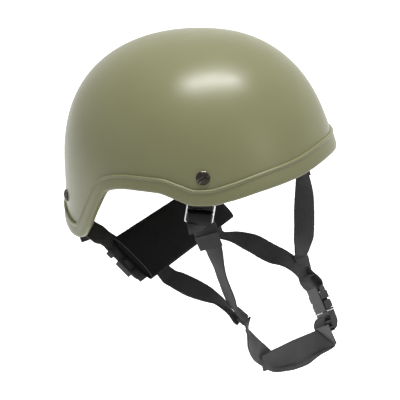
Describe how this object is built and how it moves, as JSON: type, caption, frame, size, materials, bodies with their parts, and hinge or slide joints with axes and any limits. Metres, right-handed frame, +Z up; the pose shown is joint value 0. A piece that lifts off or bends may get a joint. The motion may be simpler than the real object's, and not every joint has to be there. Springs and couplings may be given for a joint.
{
  "type": "combat helmet",
  "caption": "Olive combat helmet with a trimmed rim, slotted screws, foam pads and a black four-point chin harness with a side-release buckle.",
  "frame": {"origin": "middle of the head opening, at the height where the shell is widest, with the helmet level as worn", "axes": "+Z up towards the crown, -Y towards the wearer's front, -X towards the wearer's right"},
  "size_m": [0.2568, 0.2768, 0.3425],
  "materials": {
    "shell_paint": "matt",
    "trim": "satin",
    "screw_metal": "satin",
    "bar_metal": "satin",
    "buckle_plastic": "satin",
    "webbing": "woven",
    "sleeve_cloth": "brushed",
    "foam": "matt",
    "pad_cloth": "brushed",
    "hook_tape": "woven"
  },
  "bodies": {
    "helmet": {"shell": "shell_paint", "rim_trim": "trim", "shell_screws": "screw_metal", "post_nuts": "screw_metal", "right_hanger": "webbing", "left_hanger": "webbing", "right_rear_strap": "webbing", "left_rear_strap": "webbing", "right_rear_tail": "webbing", "left_rear_tail": "webbing", "right_keeper": "webbing", "left_keeper": "webbing", "nape_sleeve": "sleeve_cloth", "nape_insert": "foam", "right_side_strap": "webbing", "left_side_strap": "webbing", "crown_pad": "pad_cloth", "front_pad": "pad_cloth", "rear_pad": "pad_cloth", "right_fore_pad": "pad_cloth", "left_fore_pad": "pad_cloth", "right_aft_pad": "pad_cloth", "left_aft_pad": "pad_cloth", "hook_discs": "hook_tape"},
    "harness": {"right_glide": "bar_metal", "left_glide": "bar_metal", "right_front_strap": "webbing", "left_front_strap": "webbing", "right_sewn_end": "webbing", "left_sewn_end": "webbing", "right_junction": "webbing", "left_junction": "webbing", "buckle_loop": "webbing", "buckle_socket": "buckle_plastic", "chin_strap": "webbing", "chin_return": "webbing"},
    "plug": {"buckle_plug": "buckle_plastic", "chin_turn": "webbing"},
    "rear_arm": {"buckle_rear_arm": "buckle_plastic"},
    "front_arm": {"buckle_front_arm": "buckle_plastic"},
    "right_slider": {"right_adjuster": "buckle_plastic"},
    "left_slider": {"left_adjuster": "buckle_plastic"}
  },
  "joints": [
    {"name": "harness_swing", "type": "hinge", "parent": "helmet", "child": "harness", "pos_m": [0, -0.0513, 0.0095], "axis": [1, 0, 0], "range_deg": [-10, 25], "deforming": ["right_hanger", "left_hanger", "right_side_strap", "left_side_strap"]},
    {"name": "buckle_release", "type": "slide", "parent": "harness", "child": "plug", "axis": [-0.2739, -0.5488, -0.7898], "range_m": [0, 0.022], "deforming": ["chin_strap", "chin_return", "buckle_rear_arm", "buckle_front_arm"]},
    {"name": "rear_squeeze", "type": "hinge", "parent": "plug", "child": "rear_arm", "pos_m": [0.06902, -0.10295, -0.16936], "axis": [0.8431, -0.5322, 0.0775], "range_deg": [0, 12], "stiffness_Nm_per_rad": 0.2},
    {"name": "front_squeeze", "type": "hinge", "parent": "plug", "child": "front_arm", "pos_m": [0.06125, -0.11378, -0.15913], "axis": [-0.8431, 0.5322, -0.0775], "range_deg": [0, 12], "stiffness_Nm_per_rad": 0.2},
    {"name": "right_adjust", "type": "slide", "parent": "helmet", "child": "right_slider", "axis": [-0.0168, -0.8058, -0.5919], "range_m": [-0.004, 0.004]},
    {"name": "left_adjust", "type": "slide", "parent": "helmet", "child": "left_slider", "axis": [-0.0168, -0.8058, -0.5919], "range_m": [-0.004, 0.004]}
  ]
}
